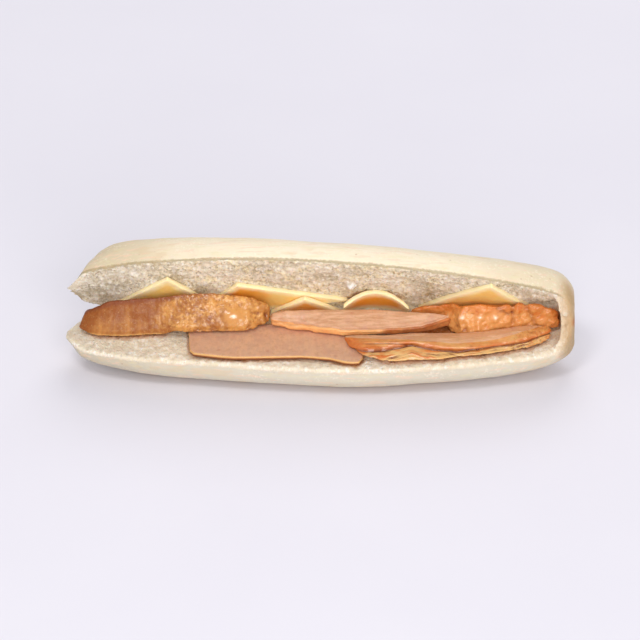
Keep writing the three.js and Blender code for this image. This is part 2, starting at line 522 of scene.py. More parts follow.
# The bread's further colours
CRUST_FLOURED = srgb(247, 233, 210)
CRUST_BASE_PAINTED_SHADE = srgb(208, 201, 184)
CRUST_PAINTED_SHADE = srgb(218, 212, 196)
CRUST_ROSY = srgb(238, 204, 176)
CRUST_GREENISH = srgb(226, 216, 174)
CRUST_SMUDGE = srgb(216, 190, 150)
CRUST_FLOUR = srgb(252, 244, 228)
CRUST_FRECKLE = srgb(176, 134, 92)
CRUMB_DENSE = srgb(243, 229, 204)
CRUMB_BUTTERY = srgb(254, 232, 176)
CRUMB_PAINTED_SHADE = srgb(216, 220, 220)
CRUMB_BASE_PAINTED_SHADE = srgb(240, 235, 230)
CRUMB_VALLEY_SHADE = srgb(196, 182, 148)
CRUMB_RAISED_HIGHLIGHT = srgb(255, 250, 238)
CRUMB_GRIT_SHADE = srgb(186, 160, 116)
CRUMB_HOLE_SHADE = srgb(150, 124, 82)
CRUMB_PORE_SHADE = srgb(160, 130, 80)
CRUMB_LOOSE = srgb(255, 253, 246)
CUT_LIP = srgb(158, 138, 98)
JOINED_END = srgb(208, 182, 148)
CHICKEN_JUICE_AND_SHADE = srgb(186, 114, 54)
BLACK = (0.0, 0.0, 0.0, 1.0)


def bread_finish(options):
    """Crust and crumb, shared out by how deep in front of the cut a point lies."""
    finish = Finish("bread")
    lid = finish.mark("lid")
    shade = finish.mark("shade")
    cloud = finish.noise(24, 4.0, 0.6)
    streak = finish.noise(2.4, 3.0, 0.6, (9, 1, 1))
    smudge = finish.noise(10.0, 4.0, 0.6, (2, 1, 1))
    ragged = finish.mark("cut") + (finish.noise(2.2, 3.0, 0.6) - 0.5) * 2.2
    crumb_share = (ragged / (3.2 - lid * 2.2)).rise(-1.15, -0.45)

    floured = (cloud * 0.5 + smudge * 0.5).rise(0.38, 0.62)
    flour = finish.noise(1.8, 4.0, 0.7).rise(0.52, 0.62) * (1 - smudge).rise(0.45, 0.6)
    browned = (finish.mark("toast") + (cloud - 0.5) * 1.1 + (smudge - 0.5) * 0.7).rise(0.3, 1.1)
    freckle = (1 - finish.spots(8).rise(0.05, 0.12)) * finish.noise(30, 2.0).rise(0.52, 0.6)
    # Painted shade: the base's crust, below the cut, is darker than the lid's
    crust = finish.over(
        tuple(options.crust), (floured * 0.7, CRUST_FLOURED), (finish.mark("under") * 0.8, CRUST_BASE_PAINTED_SHADE)
    )
    # Painted shade: the crust is darkened where the shade mark is, towards the ends
    crust = finish.blend(shade * 0.8, crust, CRUST_PAINTED_SHADE, "MULTIPLY")
    crust = finish.over(
        crust,
        (streak.rise(0.54, 0.64) * 0.5, CRUST_ROSY),
        ((1 - streak).rise(0.54, 0.66) * 0.4, CRUST_GREENISH),
        (smudge.rise(0.54, 0.68) * 0.4, CRUST_SMUDGE),
        (flour * 0.35, CRUST_FLOUR),
        (browned * 0.7, tuple(options.toasted)),
        (freckle * 0.4, CRUST_FRECKLE),
    )

    soft = finish.noise(9.0, 3.0, 0.6)
    tear = finish.noise(2.7, 5.0, 0.66, (1, 1.7, 1.7))
    grit = finish.noise(1.4, 2.0, 0.6)
    hole = (1 - finish.spots(2.4, (1, 1.6, 1.6)).rise(0.14, 0.34)) * soft.rise(0.4, 0.56)
    pore = (finish.mark("pore") * (0.2 + lid * 0.5)).kept()
    crumb = finish.blend(soft.rise(0.36, 0.62), CRUMB_DENSE, tuple(options.crumb))
    crumb = finish.blend(lid * soft.rise(0.46, 0.6) * (1 - shade) * 0.55, crumb, CRUMB_BUTTERY)
    # Painted shade: the crumb is greyed where the shade mark is
    crumb = finish.blend(shade * 0.4, crumb, CRUMB_PAINTED_SHADE, "MULTIPLY")
    # Painted shade: the base's crumb is darker than the lid's
    crumb = finish.blend((1 - lid) * 0.6, crumb, CRUMB_BASE_PAINTED_SHADE, "MULTIPLY")
    # Painted shade in the crumb's valleys, fine hollows, holes and pores, and a painted highlight on its
    # raised grain
    crumb = finish.over(
        crumb,
        ((1 - tear).rise(0.5, 0.62) * (0.08 + lid * 0.28), CRUMB_VALLEY_SHADE),
        (tear.rise(0.52, 0.62) * 0.7, CRUMB_RAISED_HIGHLIGHT),
        ((1 - grit).rise(0.6, 0.7) * 0.2, CRUMB_GRIT_SHADE),
        (hole * (0.08 + lid * 0.42), CRUMB_HOLE_SHADE),
        (pore, CRUMB_PORE_SHADE),
        (finish.mark("fleck"), CRUMB_LOOSE),
    )

    lip = (ragged + 2.6).rise(0.0, 1.2) * (1 - (ragged + 0.6).rise(0.0, 0.9))
    juice_and_shade = finish.mark("juice_and_shade")
    colour = finish.over(crust, (crumb_share, crumb), (lip * (lid * 0.6 + 0.04), CUT_LIP))
    colour = finish.blend(finish.mark("end") * 0.9, colour, JOINED_END, "MULTIPLY")
    # Meat juices and painted contact shade: the crumb turns brown next to the chicken
    colour = finish.blend((juice_and_shade + (grit - 0.5) * juice_and_shade).kept(), colour, CHICKEN_JUICE_AND_SHADE)
    # Painted light: the crumb deep in the mouth glows in its own colour where the recess mark is
    painted_fill_light = finish.blend(finish.mark("recess") * crumb_share, BLACK, colour)

    wrinkles = finish.noise(1.1, 3.0, 0.6, (2.5, 1, 1)) * 0.32
    dimples = (1 - finish.spots(3.4).rise(0.1, 0.3)) * -0.12
    skin_relief = streak * 0.25 + smudge * 0.75 + (wrinkles + dimples)
    crumb_relief = tear * 0.75 + grit * 0.25 - hole * 0.3
    height = skin_relief * (1 - crumb_share) * 0.5 + crumb_relief * crumb_share * 1.5
    return finish.set(
        Base_Color=colour,
        Roughness=(crumb_share * 0.25 + 0.58 + (cloud - 0.5) * 0.2).kept(),
        Normal=finish.bump(height, 1.0),
        Emission_Color=painted_fill_light,
        Emission_Strength=0.2,
        Subsurface_Weight=0.35,
        Subsurface_Radius=(1.0, 0.75, 0.5),
        Subsurface_Scale=0.005,
        Specular_IOR_Level=0.3,
    )


class SANDWICH_OT_roll(bpy.types.Operator):
    """Makes the roll: crust, open crumb with pores, and the torn lips of the cut."""

    bl_idname = "sandwich.roll"
    bl_label = "Roll"

    # Millimetres: how deep behind the cut the faces are fine, and the stretch by the hinge left coarse
    fine_depth = 2.2
    coarse_by_hinge = 14
    # Loose crumbs: place along X, height as seen from the front, width and thickness
    loose_crumbs = ((18.5, 46.7, 3.0, 2.2), (145.9, 29.6, 1.9, 1.3))
    # Outline of the fillings' tops as seen from the front
    filling_tops = (
        (-150, 30), (-130, 38), (-92, 41.5), (-70, 42.5), (-45, 40), (-36, 35),
        (0, 33), (70, 33), (100, 37), (120, 37), (142, 34),
    )

    def execute(self, context):
        options = sandwich_settings().bread
        seed = sandwich_settings().stage.seed
        roll = Surface("roll", options.voxel * 1000)
        roll.smooth(2)
        cut = cut_depth(roll.points)
        # The crust and the left tips are evened out most, and the cut keeps its edges
        roll.smooth(40, np.maximum(rise(1.5, 6.0, -cut), rise(-136, -146, roll.points[:, 0])))
        point_tips(roll)

        from_hinge = np.hypot(HINGE_Y - roll.points[:, 1], roll.points[:, 2] - BASE_TOP)
        in_sight = from_hinge >= self.coarse_by_hinge
        roll.refine((cut_depth(roll.points) > -self.fine_depth) & in_sight)

        points = roll.points.copy()
        height, below = in_mouth(points)
        x = points[:, 0]
        up = face_height(points)
        cut = cut_depth(points)
        crumb = rise(-0.9, 0.0, cut)
        on_lid = rise(2.0, 0.0, below) * rise(-2, 3, height)
        open_crumb = crumb > 0.01
        holes, torn = pores_and_tears(points, open_crumb, seed)
        relief = crumb * (0.55 + 0.5 * on_lid) * torn
        relief -= crumb * (0.6 + 0.6 * on_lid) * options.pore_depth * 1000 * holes
        relief *= 1 - 0.7 * rise(134, 142, x)
        golden = bump_at(x, 65, 5) * bump_at(up, 41.5, 2.4) * on_lid * crumb
        holes = np.maximum(holes, golden)
        relief -= golden * (0.3 + 1.1 * rise(-0.2, 0.4, waves(points, 2.6, 2, seed=seed + 8)))
        lumps = crumb_lumps(points, self.loose_crumbs)
        relief += lumps
        slices = [f"cheese_{number}" for number in range(1, 6)]
        touching = rise(0.05, 0.45, near(slices, points, open_crumb, 2.4)) * on_lid
        relief += touching * (0.55 - relief)

        crust = 1 - crumb
        relief += crust * 0.45 * waves(points, 38, 2, seed=seed + 5)
        relief += crust * 0.08 * waves(points, 3.2, 3, (9, 1, 1), seed=seed + 6)
        relief += crust * 0.28 * waves(points, 12, 3, (1.6, 1, 1), seed=seed + 7)
        tip = rise(-150, -134, x)
        sole = rise(2.0, 0.3, points[:, 2])
        roll.push(relief * np.maximum(tip, 0.12) * (1 - 0.95 * sole))
        roll.points[:, 2] = np.maximum(roll.points[:, 2], 0.0)

        roll.mark("cut", cut)
        # Painted shade: the pore mark darkens the pits and the low torn grain
        roll.mark("pore", np.clip(crumb * (holes + 0.3 * rise(0.1, 0.9, -torn)), 0, 1))
        roll.mark("lid", on_lid)
        roll.mark("fleck", rise(0.3, 1.4, lumps))
        # Painted light: the recess mark lets the lid's crumb just above the fillings glow
        roll.mark("recess", on_lid * crumb * rise(9, 1, up - line(self.filling_tops, x)))
        roll.mark("juice_and_shade", self.juice_and_shade(points, up, crumb, open_crumb))
        # Painted shade towards the left end, and on the lid towards the right end
        painted_end_shade = (0.5 + 0.5 * on_lid) * rise(-60, -130, x)
        roll.mark("shade", np.maximum(painted_end_shade, 0.5 * on_lid * rise(60, 130, x)))
        roll.mark("end", rise(139, 149, x) * rise(10, -6, points[:, 1]) * rise(60, 46, up))
        # Painted shade: the base's crust below the cut is darkened
        roll.mark("under", rise(14, -2, height))
        ridge = (0.2 + 0.6 * rise(20, 40, -below)) * rise(-2, 12, height)
        heel = 1.2 * rise(100, 122, x) * rise(9, 3, points[:, 2])
        roll.mark("toast", np.maximum(ridge, np.maximum(rise(-14, -21.2, height), heel)))
        roll.piece("roll_bread", bread_finish(options), "bread")
        return {"FINISHED"}

    @staticmethod
    def juice_and_shade(points, up, crumb, open_crumb):
        """Brown meat juices where the chicken lies, with painted contact shade beside it and in the gap
        behind the middle slice, and a scorched spot on the joined end.
        """
        x = points[:, 0]
        pieces = ("chicken_left", "chicken_mid", "chicken_fold", "chicken_right")
        chicken = near(pieces, points, open_crumb, 3.4)
        low = near(("slice_low",), points, open_crumb, 2.4)
        # Painted shade in the gap between the fillings behind the middle slice
        behind = rise(56, 62, x) * rise(94, 88, x) * rise(16, 18, up) * rise(28, 26, up)
        juice_and_shade_share = np.maximum(rise(0, 1, np.maximum(chicken, low)), behind)
        scorch = bump_at(x, 151.5, 1.2) * bump_at(up, 25.5, 2.4) * rise(0, -4, points[:, 1])
        return np.maximum(crumb * juice_and_shade_share, scorch)


def point_tips(roll):
    """Draws the left ends of the lid and the base in to blunt points."""
    x, _, z = roll.points.T
    up = face_height(roll.points)
    to_lid = (44.6 - up) * 0.6 * rise(-139, -152, x) * rise(30, 34, z)
    to_base = (19.0 - up) * 0.4 * rise(-142, -152, x) * rise(30, 26, z)
    shift = to_lid + to_base * rise(1.0, 4.0, z)
    roll.points[:, 1] += VIEW_SINE * shift
    roll.points[:, 2] += VIEW_COSINE * shift


def cut_depth(points):
    """How far in front of the cut a point is: 0 on the crumb, above 0 in the mouth, below 0 in crust."""
    height, below = in_mouth(points)
    x, y, z = points.T
    reach = np.hypot(HINGE_Y - y, z - BASE_TOP)
    across = np.clip(np.abs(reach - HINGE_REACH) / HALF_WIDTH, 0, 1)
    outline = HALF_LENGTH * (1 - across**OUTLINE_POWER) ** (1 / OUTLINE_POWER) - 0.3
    # A band of crust runs round the joined right end. Elsewhere the end is out of reach
    band = 3.4 * rise(95, 135, x)
    from_end = np.where(x > 95, outline - x - band, 10.0)
    return np.minimum.reduce([height, below, from_end, HINGE_Y - y + 0.5])


def pores_and_tears(points, open_crumb, seed):
    """Holes of 0 to 1 in the crumb, and its torn grain of about -1 to 1."""
    holes = np.zeros(len(points))
    torn = np.zeros(len(points))
    there = points[open_crumb]
    patches = rise(-0.35, 0.35, waves(there, 22, 2, seed=seed + 2))
    large = pits(there, 7.0, seed + 1, 0.12, 0.46) * patches
    small = pits(there, 3.6, seed + 3, 0.16, 0.55)
    holes[open_crumb] = np.maximum(large, 0.7 * small)
    torn[open_crumb] = waves(there, 3.4, 4, (1, 1.6, 1.6), seed=seed + 4)
    return holes, torn


def near(nodes, points, chosen, reach):
    """How near each chosen point is to the nodes: 1 where they touch, 0 from reach millimetres away."""
    found = np.zeros(len(points))
    for node in nodes:
        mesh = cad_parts[node].data
        faces = [tuple(face.vertices) for face in mesh.polygons]
        tree = BVHTree.FromPolygons([vertex.co * 1000 for vertex in mesh.vertices], faces)
        for index in np.flatnonzero(chosen):
            distance = tree.find_nearest(Vector(points[index]), reach)[3]
            if distance is not None:
                found[index] = max(found[index], 1 - distance / reach)
    return found


def crumb_lumps(points, loose_crumbs):
    """Height of the loose crumbs that stick to the cut, where they show from the front."""
    lumps = np.zeros(len(points))
    up = face_height(points)
    depth = VIEW_COSINE * points[:, 1] - VIEW_SINE * points[:, 2]
    uneven = 1 + 0.25 * waves(points, 2.2, 2, seed=3)
    for along, high, size, tall in loose_crumbs:
        sight = np.flatnonzero(np.hypot(points[:, 0] - along, up - high) < 1.2)
        if len(sight) == 0:
            raise RuntimeError("No bread where a loose crumb should stick")
        place = points[sight[np.argmin(depth[sight])]]
        away = np.linalg.norm(points - place, axis=1) * uneven
        lumps += tall * rise(size * 1.3, size * 0.5, away)
    return lumps


CHEESE_CLOUD = srgb(248, 196, 104)
CHEESE_PAINTED_SHADE = srgb(238, 150, 22)


def cheese_finish(options):
    """Yellow cheese, a deeper orange as painted shade where it is folded in, and paler along its edge as a
    painted highlight.
    """
    finish = Finish("cheese")
    rim = finish.mark("rim")
    deep = finish.mark("deep")
    cloud = finish.noise(12, 3.0, 0.5)
    fine = finish.noise(1.4, 3.0, 0.6)
    colour = finish.over(
        tuple(options.colour),
        (cloud.rise(0.35, 0.65) * 0.4, CHEESE_CLOUD),
        ((deep + (cloud - 0.5) * 0.4).kept(), CHEESE_PAINTED_SHADE),
        ((rim + (fine - 0.5) * 0.25).kept(), tuple(options.rim)),
    )
    return finish.set(
        Base_Color=colour,
        Roughness=(0.38 + (cloud - 0.5) * 0.2 + rim * 0.12).kept(),
        Normal=finish.bump(fine * 0.4 + finish.noise(6, 2.0) * 0.6, 0.4),
        # Painted light: the cheese glows faintly in its own colour
        Emission_Color=colour,
        Emission_Strength=0.07,
        Subsurface_Weight=0.4,
        Subsurface_Radius=(1.0, 0.6, 0.2),
        Subsurface_Scale=0.003,
        Coat_Weight=0.1,
        Coat_Roughness=0.3,
    )


class SANDWICH_OT_cheese(bpy.types.Operator):
    """Makes the five slices of cheese that hang under the lid."""

    bl_idname = "sandwich.cheese"
    bl_label = "Cheese"

    # Millimetres that the slices are lifted to lie against the lid's crumb, and the width of the painted
    # highlight along the edge
    lift = 0.8
    edge_width = 4.8
    arched_edge_width = 6.4

    def execute(self, context):
        options = sandwich_settings().cheese
        seed = sandwich_settings().stage.seed
        material = cheese_finish(options)
        for number in range(1, 6):
            slice_ = Surface(f"cheese_{number}", options.voxel * 1000)
            slice_.smooth(5)
            points = slice_.points
            x = points[:, 0]
            facing = np.abs(np.sum(slice_.normals() * lid_normal(x), axis=1))
            inward = self.from_edge(points, points[facing < 0.55])
            reach = self.arched_edge_width if number == 4 else self.edge_width
            # Painted highlight: a pale band along each slice's edge
            rim = rise(reach * 1.25, 0.3, inward + 0.8 * waves(points, 7, 2, seed=seed + 30 + number))
            up = face_height(points)
            # Painted shade: how much of each slice turns a deeper orange where it lies in shade
            deep = {
                1: 0.1 * bump_at(x, -90, 14),
                2: 0.85 * rise(-20, -46, x),
                3: 0.75 * np.ones(len(x)),
                4: 1.0 * np.ones(len(x)),
                5: 0.75 * rise(38, 28, up),
            }[number]
            slice_.push(0.1 + 0.25 * waves(points, 9, 2, seed=seed + 10 + number))
            slice_.points -= lid_normal(x) * self.lift
            slice_.mark("rim", rim)
            slice_.mark("deep", deep)
            slice_.piece(f"cheese_slice_{number}", material, "cheese")
        return {"FINISHED"}

    @staticmethod
    def from_edge(points, edge):
        """Distance from each point to the nearest of the edge's points."""
        tree = KDTree(len(edge))
        for index, point in enumerate(edge):
            tree.insert(point, index)
        tree.balance()
        return np.array([tree.find(point)[2] for point in points])


# The chicken's further colours
SKIN_BLISTER_HIGHLIGHT = srgb(238, 186, 108)
SKIN_FLECK = srgb(240, 200, 138)
MEAT_FIBRE = srgb(222, 176, 142)
MEAT_CLOUD = srgb(204, 154, 130)
MEAT_SHADOW = srgb(190, 138, 100)
MEAT_SPECK = srgb(176, 118, 86)
MEAT_PINK = srgb(190, 118, 98)
GOLDEN_EDGE = srgb(246, 196, 122)
PAINTED_GLINT_COLOUR = srgb(255, 238, 214)


def chicken_finish(options, name, skin, deep, flesh, gloss, grain, cut_grain=(7, 1, 1)):
    """Roast outside and cut face, shared out by the piece's marks."""
    finish = Finish(name)
    dark_roast_and_shade = tuple(options.dark_roast_and_shade)
    hollow = finish.mark("hollow")
    rough = finish.mark("rough")
    wet = finish.mark("wet")
    fat = finish.mark("fat")
    cloud = finish.noise(8, 4.0, 0.62)
    lump = finish.noise(2.6, 4.0, 0.62)
    stripe = finish.noise(1.7, 3.0, 0.6, grain)
    fine = finish.noise(1.0, 3.0, 0.65)
    browned = (finish.mark("roast") + (cloud - 0.5) * 0.7 + (stripe - 0.5) * 0.45).rise(0.1, 1.0)
    outside = finish.over(
        skin,
        (browned, deep),
        # Painted highlight on the raised blisters
        (lump.rise(0.5, 0.62) * rough * 0.6, SKIN_BLISTER_HIGHLIGHT),
        # Painted shade, in the dark colour, in the valleys between the blisters
        ((1 - lump).rise(0.54, 0.68) * rough * 0.5, dark_roast_and_shade),
        (fine.rise(0.56, 0.7) * (0.25 - wet * 0.2), SKIN_FLECK),
        # Painted shade, in the dark colour, where the hollow mark is
        ((hollow + (fine - 0.5) * hollow).kept(), dark_roast_and_shade),
    )
    fibre = finish.noise(1.6, 4.0, 0.62, cut_grain)
    pink = (1 - finish.spots(9).rise(0.08, 0.2)) * cloud.rise(0.4, 0.6)
    meat = finish.over(
        flesh,
        (fibre.rise(0.36, 0.64), MEAT_FIBRE),
        (cloud.rise(0.48, 0.66) * 0.55, MEAT_CLOUD),
        ((1 - lump).rise(0.54, 0.64) * 0.3, MEAT_SHADOW),
        ((1 - fine).rise(0.58, 0.7) * 0.15, MEAT_SPECK),
        (pink * 0.5, MEAT_PINK),
    )
    share = (finish.mark("flesh") + (fine - 0.5) * 0.4).rise(0.35, 0.65)
    colour = finish.over(
        outside,
        (share, meat),
        (finish.mark("gold"), GOLDEN_EDGE),
        # Painted glints in near white
        ((fat + (fine - 0.5) * fat).kept(), PAINTED_GLINT_COLOUR),
    )
    height = stripe * (0.4 - wet * 0.3) + fine * (0.3 - wet * 0.3) + lump * rough * 0.6
    return finish.set(
        Base_Color=colour,
        Roughness=(0.52 - wet * 0.2 + share * 0.05 + (fine - 0.5) * 0.25).kept(),
        Normal=finish.bump(height, 0.6),
        Coat_Weight=wet * gloss,
        Coat_Roughness=0.14,
        Coat_IOR=2.0,
        Specular_IOR_Level=0.3,
        Subsurface_Weight=0.14,
        Subsurface_Radius=(1.0, 0.35, 0.18),
        Subsurface_Scale=0.003,
    )


def begin_chicken(node, rounds):
    """An even, smoothed copy of the node, and its points and heights as seen from the front."""
    piece = Surface(node, sandwich_settings().chicken.voxel * 1000)
    piece.smooth(rounds)
    points = piece.points.copy()
    return piece, points, face_height(points)


def finish_chicken(piece, name, material, slot, relief, **marks):
    """Gives the piece its relief and its marks of 0 to 1, and makes it."""
    piece.push(relief)
    usual = {"flesh": 0.0, "roast": 0.0, "hollow": 0.0, "rough": 0.0, "gold": 0.0, "wet": 0.5, "fat": 0.0}
    for key, values in {**usual, **marks}.items():
        piece.mark(key, np.clip(values, 0, 1) * np.ones(len(piece.points)))
    piece.piece(name, material, slot)


def fillet_left(options, seed):
    """Thick fillet at the open end: smooth and striped to the left, blistered and paler to the right."""
    piece, points, up = begin_chicken("chicken_left", 10)
    front = rise(0.1, -0.4, piece.normals()[:, 1])
    x, _, z = points.T
    piece.points[:, 0] += 0.42 * (up - 27) * rise(-118, -143, x)
    blistered = rise(-110, -74, x + 9 * waves(points, 12, 3, seed=seed + 19))
    smooth = 1 - blistered
    knuckle = bump_at(x, -52, 7.5) * bump_at(up, 29.5, 5.0)
    lumps = cells(points, 5.0, (1.3, 1, 1), seed=seed + 20)
    ripple = waves(points, 3.0, 2, (0.8, 6, 6), seed=seed + 21)
    cloud = waves(points, 6, 4, seed=seed + 22)
    grains = waves(points, 2.4, 2, seed=seed + 23)
    bumpy = blistered * (1 - knuckle) ** 2
    relief = bumpy * (0.2 * (lumps - 0.5) + 0.6 * cloud + 0.32 * grains)
    relief += smooth * (0.12 * ripple + 0.3 * cloud)
    relief += 1.9 * knuckle
    slot_in_end = bump_at(x, -32.5, 1.3) * bump_at(up, 29.5, 2.6)
    relief += 0.9 * bump_at(x, -33, 3.5) - 1.6 * slot_in_end

    top_edge = line(((-143, 31), (-137, 34), (-125, 36.8), (-104, 39), (-92, 40)), x)
    rim = rise(-3.0, 0.2, up - top_edge + 0.9 * cloud) * rise(-80, -98, x)
    roast = 0.92 - 0.6 * blistered + 0.6 * rim + 0.3 * rise(-134, -142, x) - 0.2 * rise(31, 24, up) * smooth
    roast += 0.22 * smooth * waves(points, 3.4, 2, (1, 12, 12), seed=seed + 24)
    patches = waves(points, 11, 2, seed=seed + 25)
    roast += blistered * (0.35 * rise(34, 44, up) + 0.45 * patches - 0.3 * knuckle)
    # Painted shade: the valleys are where the relief is low
    valleys = bumpy * (0.2 * rise(0.3, 0.0, lumps) + 0.8 * rise(0.2, 0.8, -grains - 0.6 * cloud))
    shine = bump_at(x, -52, 3.2) * bump_at(up, 29, 2.2)
    # Painted glints: pale spots on the knuckle
    glint_spot = 0.9 * bump_at(x, -51.8, 1.0) * bump_at(up, 28.8, 0.9)
    small_glint_spot = 0.5 * bump_at(x, -47.6, 0.8) * bump_at(up, 26.6, 0.6)
    material = chicken_finish(
        options,
        "chicken_left",
        skin=tuple(options.roast),
        deep=srgb(148, 80, 24),
        flesh=tuple(options.flesh),
        gloss=0.9,
        grain=(1, 9, 9),
    )
    finish_chicken(
        piece,
        "chicken_fillet_left",
        material,
        "roast_chicken",
        relief,
        roast=roast,
        # hollow: painted shade in the valleys and in the slot, and darker along the top edge
        hollow=np.maximum(np.maximum(0.6 * valleys, 0.9 * slot_in_end), 0.8 * rim),
        rough=bumpy * 0.75 + 0.1,
        gold=0.8 * bump_at(z, 23.4, 0.7) * front,
        wet=0.05 + 0.2 * blistered + 0.25 * shine,
        fat=glint_spot + small_glint_spot,
    )


def slice_mid(options, seed):
    """Slice in the middle: cut face up, with a roasted rim that hangs below it."""
    piece, points, up = begin_chicken("chicken_mid", 8)
    facing_up = rise(0.1, 0.35, piece.normals()[:, 2])
    x = points[:, 0]
    fibre = waves(points, 1.8, 3, (8, 1, 1), seed=seed + 30)
    cloud = waves(points, 8, 3, seed=seed + 31)
    rim_top = line(
        (
            (-29, 25.5), (-17, 23.4), (4, 22.4), (14, 20.9), (35, 20.9),
            (47, 21.9), (60, 22.9), (70, 25.5), (76, 28),
        ),
        x,
    )
    above = up - rim_top + 0.5 * waves(points, 5, 2, seed=seed + 33)
    flesh = rise(-0.5, 0.5, above) * facing_up
    relief = 0.2 * cloud + flesh * 0.16 * fibre
    relief += (1 - flesh) * 0.5 * waves(points, 4, 3, (2, 1, 1), seed=seed + 32)
    relief += 0.45 * bump_at(above, -0.9, 0.8) - 0.7 * bump_at(above, 0.5, 0.5)
    pit = bump_at(x, -9.5, 2.0) * bump_at(up, 27.5, 1.3)
    relief -= 1.2 * pit
    scorched = rise(34, 42, x) * (1 - flesh) * rise(-0.9, 0.4, cloud)
    material = chicken_finish(
        options,
        "chicken_mid",
        skin=srgb(246, 182, 116),
        deep=srgb(208, 120, 60),
        flesh=tuple(options.flesh),
        gloss=0.5,
        grain=(5, 1, 1),
    )
    finish_chicken(
        piece,
        "chicken_slice_mid",
        material,
        "cut_chicken",
        relief,
        flesh=flesh,
        roast=0.2 + 0.6 * rise(34, 42, x) + 0.2 * rise(-22, -29, x),
        # hollow: darker where scorched, and painted shade in the pit and along the groove at the cut face's
        # edge
        hollow=0.5 * scorched + 0.5 * pit + 0.35 * bump_at(above, 0.2, 0.4),
        rough=0.3 * (1 - flesh),
        wet=0.12 + 0.2 * (1 - flesh),
    )


def slice_folded(options, seed):
    """Folded slice in front on the right: two layers that part along a wandering crease."""
    piece, points, up = begin_chicken("chicken_fold", 6)
    normal = piece.normals()
    x, _, z = points.T
    wander = waves(points, 9, 2, seed=seed + 40)
    face_edge = line(
        (
            (14, 16.5), (20, 16.2), (35, 15.6), (50, 15), (66, 13.9), (82, 12.8),
            (97, 14), (107, 15.8), (117, 18.4), (124, 20.6), (131, 22.6), (138, 24),
        ),
        x,
    )
    fold_line = line(
        (
            (14, 10), (28, 8.6), (39, 9.4), (47, 10.6), (55, 12.2), (64, 10.4),
            (72, 8.9), (82, 8.2), (93, 8.9), (102, 10.4), (112, 12), (122, 13.6), (138, 19),
        ),
        x,
    )
    above_face = up - face_edge + 0.4 * wander
    above_fold = up - fold_line + 0.35 * wander
    front = rise(0.35, -0.05, normal[:, 1])
    flesh = rise(-0.4, 0.4, above_face) * rise(0.3, 0.6, normal[:, 2])
    ruffle = rise(106, 122, x) * (1 - flesh)
    lumps = waves(points, 5, 3, (1.6, 1, 1), seed=seed + 41)
    along = np.stack([x, above_fold + 1.2 * wander, 0 * x], axis=1)
    layers = waves(along, 1.6, 3, (11, 1, 1), seed=seed + 48) * rise(0.2, -1.0, above_fold)
    crease = bump_at(above_fold, 0, 0.55) * front * rise(16, 26, x)
    second = line(((24, 12.6), (40, 12.9), (50, 12.2), (58, 11.8)), x)
    tuck = bump_at(up - second, 0, 0.35) * rise(60, 52, x) * rise(22, 30, x) * front
    relief = 0.2 * lumps + front * 0.4 * layers - 1.7 * crease - 0.9 * tuck
    relief += 0.55 * bump_at(above_fold, 2.0, 1.4) * (1 - flesh)
    relief += ruffle * (0.8 * waves(points, 4.2, 2, (0.8, 1, 1), seed=seed + 42))
    relief += flesh * 0.14 * waves(points, 1.6, 3, (9, 1, 1), seed=seed + 44)
    lower = rise(0.3, -0.3, above_fold) * (1 - flesh)
    roast = 0.6 - 0.28 * lower + 0.4 * rise(32, 18, x) + 0.3 * bump_at(above_fold, 0.9, 0.9) + 0.35 * layers
    roast += 0.45 * lumps * lower + 0.5 * layers * lower + 0.25 * rise(52, 26, x) * lower
    # Painted shade in the crease, the tuck, the low lumps and between the lower layers
    hollow = crease + 0.8 * tuck + 0.25 * rise(0.4, 0.9, -lumps) + 0.85 * lower * rise(0.1, 0.7, -layers)
    material = chicken_finish(
        options,
        "chicken_fold",
        skin=srgb(224, 180, 114),
        deep=srgb(204, 108, 38),
        flesh=srgb(210, 158, 116),
        gloss=0.6,
        grain=(7, 1, 1),
    )
    finish_chicken(
        piece,
        "chicken_slice_folded",
        material,
        "roast_chicken",
        relief,
        flesh=flesh,
        roast=roast,
        hollow=hollow,
        rough=0.25 + 0.5 * ruffle,
        gold=0.5 * bump_at(z, 23.2, 0.6) * front,
    )


